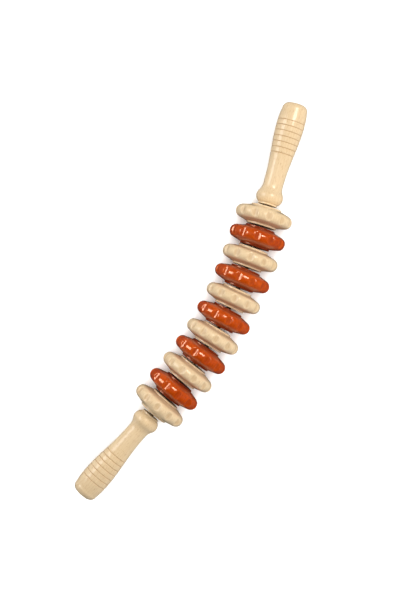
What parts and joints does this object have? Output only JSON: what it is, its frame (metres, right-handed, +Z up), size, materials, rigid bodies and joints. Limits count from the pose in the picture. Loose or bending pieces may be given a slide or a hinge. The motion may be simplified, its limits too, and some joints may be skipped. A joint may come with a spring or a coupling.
{
  "type": "wooden roller massager",
  "caption": "Flexible roller stick for massage: notched wooden wheels in two alternating finishes spin on a bendable wire rope between turned wooden handles.",
  "frame": {"origin": "middle of the footprint on the floor plane the wheels rest on", "axes": "+X from the left handle's end to the right one's, +Z up, the rope bends in a level plane and its middle bulges towards -Y"},
  "size_m": [0.4502, 0.0795, 0.058],
  "materials": {
    "natural_wood": "pale beech with a satin clear lacquer",
    "stained_wood": "red-brown stain under a glossy clear lacquer",
    "rope_steel": "bright twisted steel wire rope",
    "sleeve_metal": "plain crimped sleeve"
  },
  "bodies": {
    "link_06": {"rope_06": "rope_steel"},
    "link_01": {"rope_01": "rope_steel"},
    "link_02": {"rope_02": "rope_steel"},
    "link_03": {"rope_03": "rope_steel"},
    "link_04": {"rope_04": "rope_steel"},
    "link_05": {"rope_05": "rope_steel"},
    "link_07": {"rope_07": "rope_steel"},
    "link_08": {"rope_08": "rope_steel"},
    "link_09": {"rope_09": "rope_steel"},
    "link_10": {"rope_10": "rope_steel"},
    "link_11": {"rope_11": "rope_steel"},
    "wheel_01": {"wheel_01": "natural_wood"},
    "wheel_02": {"wheel_02": "stained_wood"},
    "wheel_03": {"wheel_03": "natural_wood"},
    "wheel_04": {"wheel_04": "stained_wood"},
    "wheel_05": {"wheel_05": "natural_wood"},
    "wheel_06": {"wheel_06": "stained_wood"},
    "wheel_07": {"wheel_07": "natural_wood"},
    "wheel_08": {"wheel_08": "stained_wood"},
    "wheel_09": {"wheel_09": "natural_wood"},
    "wheel_10": {"wheel_10": "stained_wood"},
    "wheel_11": {"wheel_11": "natural_wood"},
    "left_grip": {"left_handle": "natural_wood", "left_sleeve": "sleeve_metal", "left_rope_end": "rope_steel"},
    "right_grip": {"right_handle": "natural_wood", "right_sleeve": "sleeve_metal", "right_rope_end": "rope_steel"}
  },
  "joints": [
    {"name": "bend_01", "type": "hinge", "parent": "link_01", "child": "left_grip", "pos_m": [-0.11909, 0.00563, 0.029], "axis": [0, 0, -1], "range_deg": [-6, 6]},
    {"name": "bend_02", "type": "hinge", "parent": "link_02", "child": "link_01", "pos_m": [-0.09726, 0.00085, 0.029], "axis": [0, 0, -1], "range_deg": [-7, 5]},
    {"name": "bend_03", "type": "hinge", "parent": "link_03", "child": "link_02", "pos_m": [-0.07579, -0.00347, 0.029], "axis": [0, 0, -1], "range_deg": [-8, 4]},
    {"name": "bend_04", "type": "hinge", "parent": "link_04", "child": "link_03", "pos_m": [-0.05418, -0.00703, 0.029], "axis": [0, 0, -1], "range_deg": [-8.5, 3.5]},
    {"name": "bend_05", "type": "hinge", "parent": "link_05", "child": "link_04", "pos_m": [-0.03244, -0.00964, 0.029], "axis": [0, 0, -1], "range_deg": [-10, 2]},
    {"name": "bend_06", "type": "hinge", "parent": "link_06", "child": "link_05", "pos_m": [-0.01056, -0.01073, 0.029], "axis": [0, 0, -1], "range_deg": [-9.5, 2.5]},
    {"name": "bend_07", "type": "hinge", "parent": "link_06", "child": "link_07", "pos_m": [0.01133, -0.01049, 0.029], "axis": [0, 0, 1], "range_deg": [-9, 3]},
    {"name": "bend_08", "type": "hinge", "parent": "link_07", "child": "link_08", "pos_m": [0.03319, -0.0091, 0.029], "axis": [0, 0, 1], "range_deg": [-8.5, 3.5]},
    {"name": "bend_09", "type": "hinge", "parent": "link_08", "child": "link_09", "pos_m": [0.05496, -0.00675, 0.029], "axis": [0, 0, 1], "range_deg": [-8.5, 3.5]},
    {"name": "bend_10", "type": "hinge", "parent": "link_09", "child": "link_10", "pos_m": [0.07662, -0.00346, 0.029], "axis": [0, 0, 1], "range_deg": [-8, 4]},
    {"name": "bend_11", "type": "hinge", "parent": "link_10", "child": "link_11", "pos_m": [0.09814, 0.00058, 0.029], "axis": [0, 0, 1], "range_deg": [-7.5, 4.5]},
    {"name": "bend_12", "type": "hinge", "parent": "link_11", "child": "right_grip", "pos_m": [0.1196, 0.0052, 0.029], "axis": [0, 0, 1], "range_deg": [-6.5, 5.5]},
    {"name": "spin_01", "type": "hinge", "parent": "link_01", "child": "wheel_01", "pos_m": [-0.10796, 0.00319, 0.029], "axis": [0.9768, -0.214, 0], "continuous": true},
    {"name": "spin_02", "type": "hinge", "parent": "link_02", "child": "wheel_02", "pos_m": [-0.08653, -0.00131, 0.029], "axis": [0.9804, -0.1969, 0], "continuous": true},
    {"name": "spin_03", "type": "hinge", "parent": "link_03", "child": "wheel_03", "pos_m": [-0.06499, -0.00525, 0.029], "axis": [0.9867, -0.1626, 0], "continuous": true},
    {"name": "spin_04", "type": "hinge", "parent": "link_04", "child": "wheel_04", "pos_m": [-0.04331, -0.00834, 0.029], "axis": [0.9928, -0.1194, 0], "continuous": true},
    {"name": "spin_05", "type": "hinge", "parent": "link_05", "child": "wheel_05", "pos_m": [-0.0215, -0.01019, 0.029], "axis": [0.9988, -0.0499, 0], "continuous": true},
    {"name": "spin_06", "type": "hinge", "parent": "link_06", "child": "wheel_06", "pos_m": [0.00038, -0.01061, 0.029], "axis": [0.9999, 0.0112, 0], "continuous": true},
    {"name": "spin_07", "type": "hinge", "parent": "link_07", "child": "wheel_07", "pos_m": [0.02226, -0.00979, 0.029], "axis": [0.998, 0.0635, 0], "continuous": true},
    {"name": "spin_08", "type": "hinge", "parent": "link_08", "child": "wheel_08", "pos_m": [0.04408, -0.00793, 0.029], "axis": [0.9943, 0.107, 0], "continuous": true},
    {"name": "spin_09", "type": "hinge", "parent": "link_09", "child": "wheel_09", "pos_m": [0.06579, -0.00511, 0.029], "axis": [0.9886, 0.1503, 0], "continuous": true},
    {"name": "spin_10", "type": "hinge", "parent": "link_10", "child": "wheel_10", "pos_m": [0.08738, -0.00144, 0.029], "axis": [0.9828, 0.1847, 0], "continuous": true},
    {"name": "spin_11", "type": "hinge", "parent": "link_11", "child": "wheel_11", "pos_m": [0.10884, 0.00288, 0.029], "axis": [0.9776, 0.2103, 0], "continuous": true}
  ]
}
